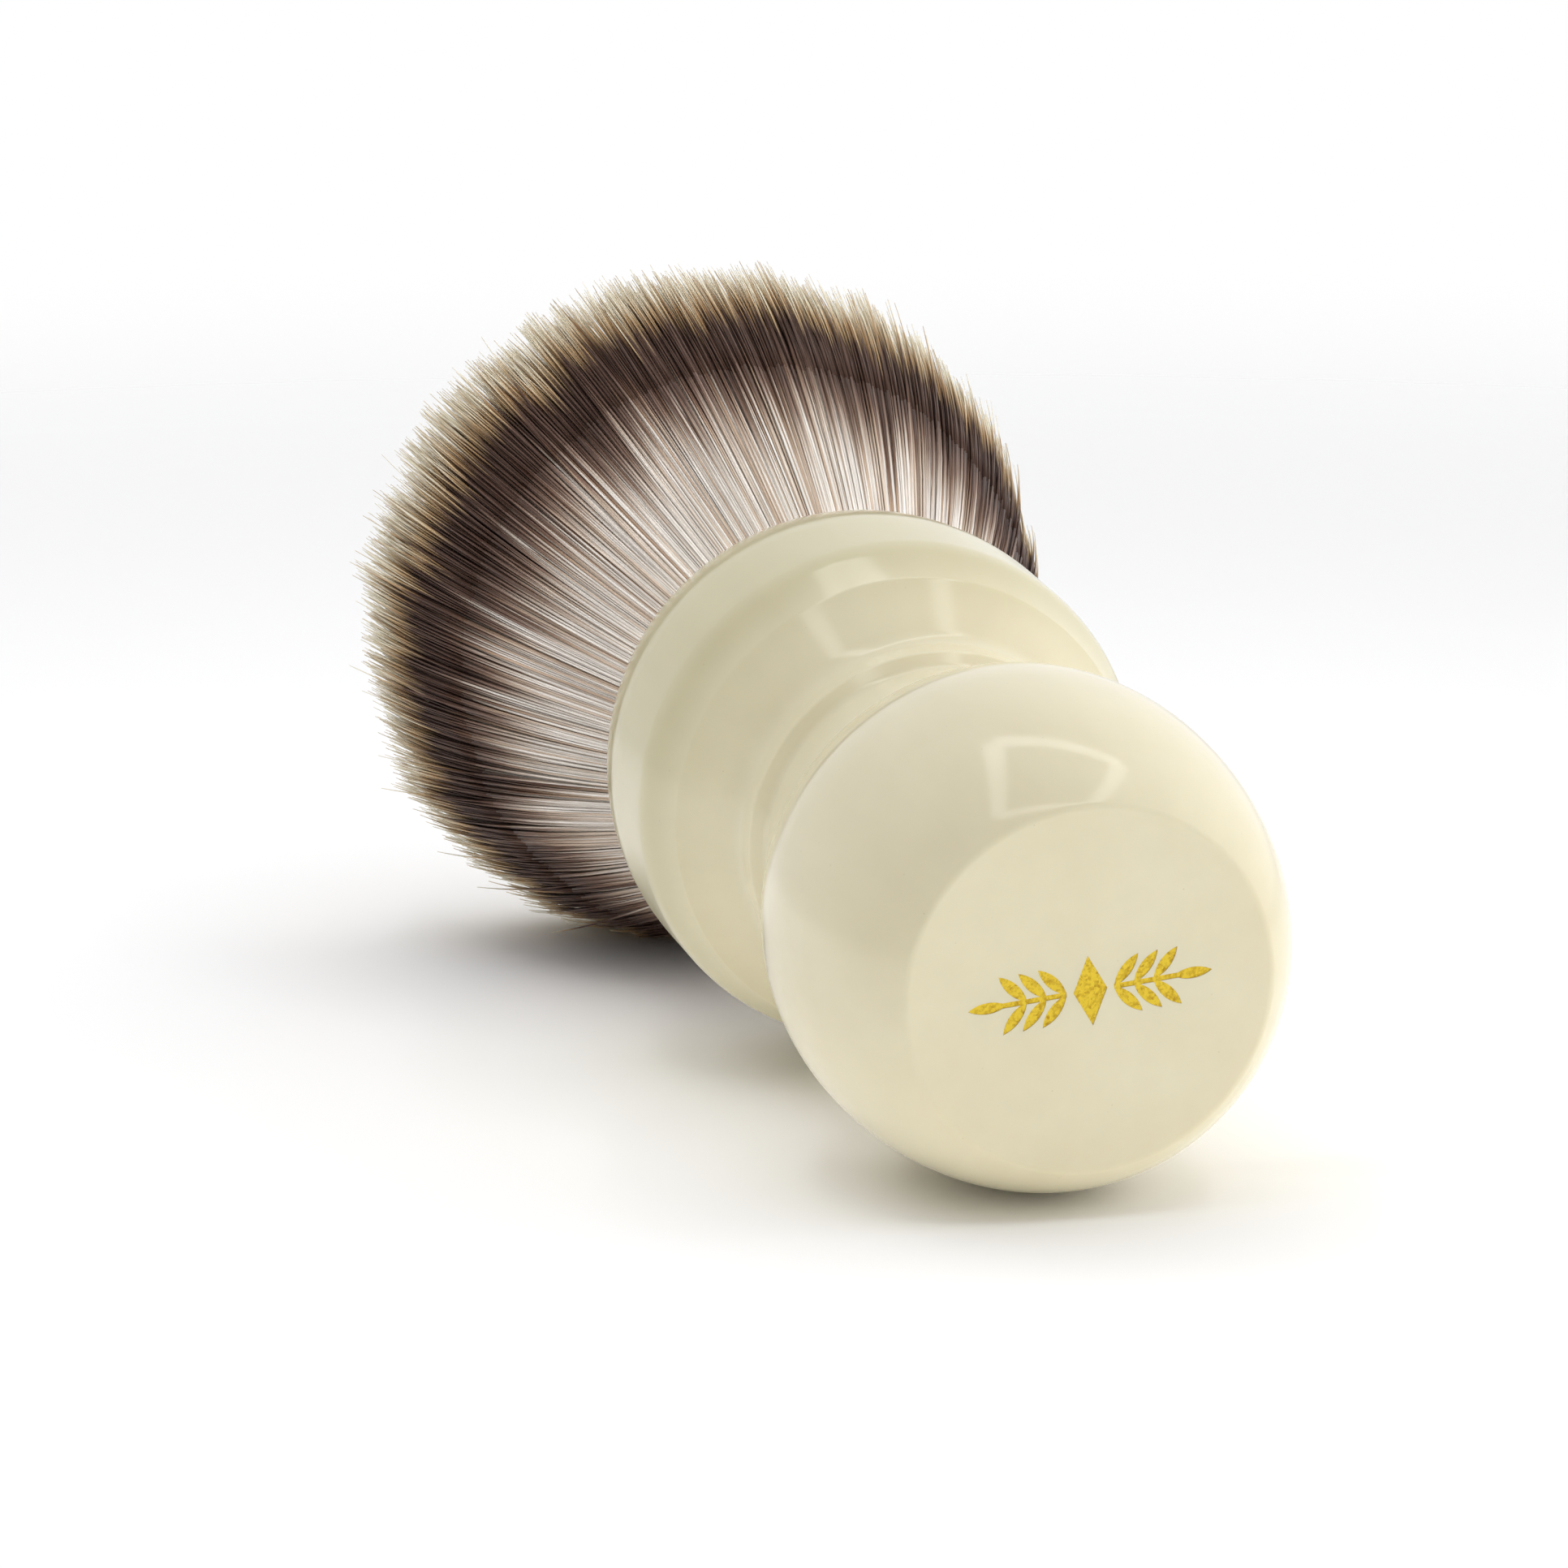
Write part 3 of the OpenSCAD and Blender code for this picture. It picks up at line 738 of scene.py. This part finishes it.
def floorMaterial(name, centre, s):
    # White paper that fades out between two distances, and can't be seen from underneath.
    material = bpy.data.materials.new(name)
    material.use_nodes = True
    tree = material.node_tree
    tree.nodes.clear()
    place = addNode(tree, "ShaderNodeTexCoord").outputs["Object"]
    away = addNode(tree, "ShaderNodeVectorMath", {"operation": "DISTANCE"}, {
        0: place, 1: tuple(np.asarray(centre) * mm)})
    fade = addNode(tree, "ShaderNodeMapRange", {"interpolation_type": "SMOOTHSTEP"}, {
        "Value": away.outputs["Value"], "From Min": s["clear"] * mm, "From Max": s["gone"] * mm})
    side = addNode(tree, "ShaderNodeNewGeometry")
    hidden = addNode(tree, "ShaderNodeMath", {"operation": "MAXIMUM"}, {
        0: fade.outputs["Result"], 1: side.outputs["Backfacing"]})
    table = addNode(tree, "ShaderNodeBsdfPrincipled", {}, {
        "Base Color": toLinear(s["colour"]), "Roughness": 0.9, "Specular IOR Level": 0.0})
    clear = addNode(tree, "ShaderNodeBsdfTransparent")
    mixed = addNode(tree, "ShaderNodeMixShader", {}, {
        "Fac": hidden.outputs["Value"], 1: table.outputs["BSDF"], 2: clear.outputs["BSDF"]})
    addNode(tree, "ShaderNodeOutputMaterial", inputs={"Surface": mixed.outputs["Shader"]})
    return material


def stageFloor(name, centre, normal, across, bounces, s):
    # A square sheet round centre, facing along normal.
    across = unit(across)
    other = np.cross(normal, across)
    half = s["size"] / 2
    points = np.array([np.asarray(centre) + half * (x * across + y * other)
                       for x, y in ((-1, -1), (1, -1), (1, 1), (-1, 1))])
    made = meshObject(name, points, [np.array([[0, 1, 2, 3]])], smooth=False)
    made.data.materials.append(floorMaterial(name + "Paper", centre, s))
    for rays in ("visible_transmission", "visible_volume_scatter", "visible_shadow"):
        setattr(made, rays, False)
    made.visible_diffuse = made.visible_glossy = bounces
    return made


handlePoints = np.zeros(len(handle.data.vertices) * 3)
handle.data.vertices.foreach_get("co", handlePoints)
lowest = (handlePoints.reshape(-1, 3) / mm @ floorUp).min()
middle = np.array([0.0, 0.0, (handleLow.z + headHigh.z) / 2])
lyingCentre = middle + floorUp * (lowest - middle @ floorUp)
lyingFloor = stageFloor("lyingFloor", lyingCentre, floorUp, floorRight, True, stageLook)
stageFloor("standingFloor", (0.0, 0.0, -stageLook["under"]), np.array([0.0, 0.0, 1.0]),
           (1.0, 0.0, 0.0), False, stageLook)


# Light: a pale room that is brighter behind and to the right, a frame of four strips above the
# brush, two soft boxes, and one soft light each for the table and for the fibres

room = dict(
    low=0.26, high=1.10, floor=0.74,
    seen=1.0, tint="#FFFFFF",  # what the camera sees past the brush
    bright=(0.67, 0.0, 0.74),  # the side that is brightest, as right, up and away over the floor
    horizon=(-0.07, -0.03),  # how far below level the floor gives way to the room
)


def overFloor(right, up, away):
    # A direction given over the lying floor, as a vector in the frame.
    return right * floorRight + up * floorUp + away * floorAway


def roomLight(s):
    # World light that rises from low to high towards the bright side, over a floor of one brightness.
    world = bpy.data.worlds.new("paleRoom")
    scene.world = world
    world.use_nodes = True
    tree = world.node_tree
    tree.nodes.clear()
    direction = addNode(tree, "ShaderNodeTexCoord").outputs["Generated"]
    side = addNode(tree, "ShaderNodeVectorMath", {"operation": "DOT_PRODUCT"}, {
        0: direction, 1: tuple(unit(overFloor(*s["bright"])))})
    level = addNode(tree, "ShaderNodeMapRange", {}, {
        "Value": side.outputs["Value"], "From Min": -1.0, "From Max": 1.0,
        "To Min": s["low"], "To Max": s["high"]})
    rise = addNode(tree, "ShaderNodeVectorMath", {"operation": "DOT_PRODUCT"}, {
        0: direction, 1: tuple(floorUp)})
    overHorizon = addNode(tree, "ShaderNodeMapRange", {}, {
        "Value": rise.outputs["Value"], "From Min": s["horizon"][0], "From Max": s["horizon"][1]})
    around = addNode(tree, "ShaderNodeMix", {"data_type": "FLOAT"}, {
        "Factor": overHorizon.outputs["Result"], 2: s["floor"], 3: level.outputs["Result"]})
    ray = addNode(tree, "ShaderNodeLightPath")
    strength = addNode(tree, "ShaderNodeMix", {"data_type": "FLOAT"}, {
        "Factor": ray.outputs["Is Camera Ray"], 2: around.outputs["Result"], 3: s["seen"]})
    sky = addNode(tree, "ShaderNodeBackground", {}, {
        "Color": toLinear(s["tint"]), "Strength": strength.outputs["Result"]})
    addNode(tree, "ShaderNodeOutputWorld", inputs={"Surface": sky.outputs["Background"]})


def areaLight(name, place, aim, across, size, radiance, glossy=True):
    # A rectangle of light, size = (along across, the other way). Power is 4 x area x radiance.
    data = bpy.data.lights.new(name, "AREA")
    data.shape = "RECTANGLE"
    data.size, data.size_y = size[0] * mm, size[1] * mm
    data.energy = 4 * data.size * data.size_y * radiance
    made = bpy.data.objects.new(name, data)
    back = unit(np.subtract(place, aim))
    made.matrix_world = aimed(place, aim, np.cross(back, across))
    made.visible_camera = False
    made.visible_glossy = glossy
    scene.collection.objects.link(made)
    return made


stripFrame = dict(
    height=280.0, width=34.0, radiance=1.5,
    # where the corners hang, right and away, as shares of the height
    corners=[(-0.25, 0.49), (0.47, 0.38), (0.44, -0.50), (-0.30, -0.42)],
)
bulbCentre = np.array([0.0, 0.0, handleShape["bulbZ"]])


def overBulb(x, y, height):
    # The point over the bulb at (x, y, 1) x height along right, away and up.
    return bulbCentre + height * (floorUp + x * floorRight + y * floorAway)


def stripLights(s):
    # Four strips from corner to corner of a frame that hangs over the brush.
    corners = [overBulb(x, y, s["height"]) for x, y in s["corners"]]
    names = ("stripFar", "stripRight", "stripNear", "stripLeft")
    for name, start, end in zip(names, corners, corners[1:] + corners[:1]):
        place, length = (start + end) / 2, np.linalg.norm(end - start)
        areaLight(name, place, place - floorUp, end - start, (length, s["width"]), s["radiance"])


roomLight(room)
stripLights(stripFrame)
softBoxes = [  # name, direction (right, up, away), distance, size, radiance
    ("rightBox", (0.9, 0.35, 0.1), 220.0, 150.0, 0.9),
    ("leftBox", (-0.55, 0.75, 0.3), 300.0, 150.0, 0.8),
]
for name, direction, distance, size, radiance in softBoxes:
    place = bulbCentre + unit(overFloor(*direction)) * distance
    areaLight(name, place, bulbCentre, floorUp, (size, size), radiance, glossy=False)

washes = [  # name, place over the middle (right, up, away), size, radiance, pieces that it lights
    ("floorWash", (-150.0, 450.0, -50.0), 500.0, 0.3, [lyingFloor]),
    ("hairWash", (-250.0, 400.0, -350.0), 320.0, 0.9, fibrePieces),
]
for name, offset, size, radiance, pieces in washes:
    place = middle + overFloor(*offset)
    light = areaLight(name, place, middle, floorRight, (size, size), radiance, glossy=False)
    lit = bpy.data.collections.new(name + "Pieces")
    for piece in pieces:
        lit.objects.link(piece)
    light.light_linking.receiver_collection = lit
print("stage and lights set")
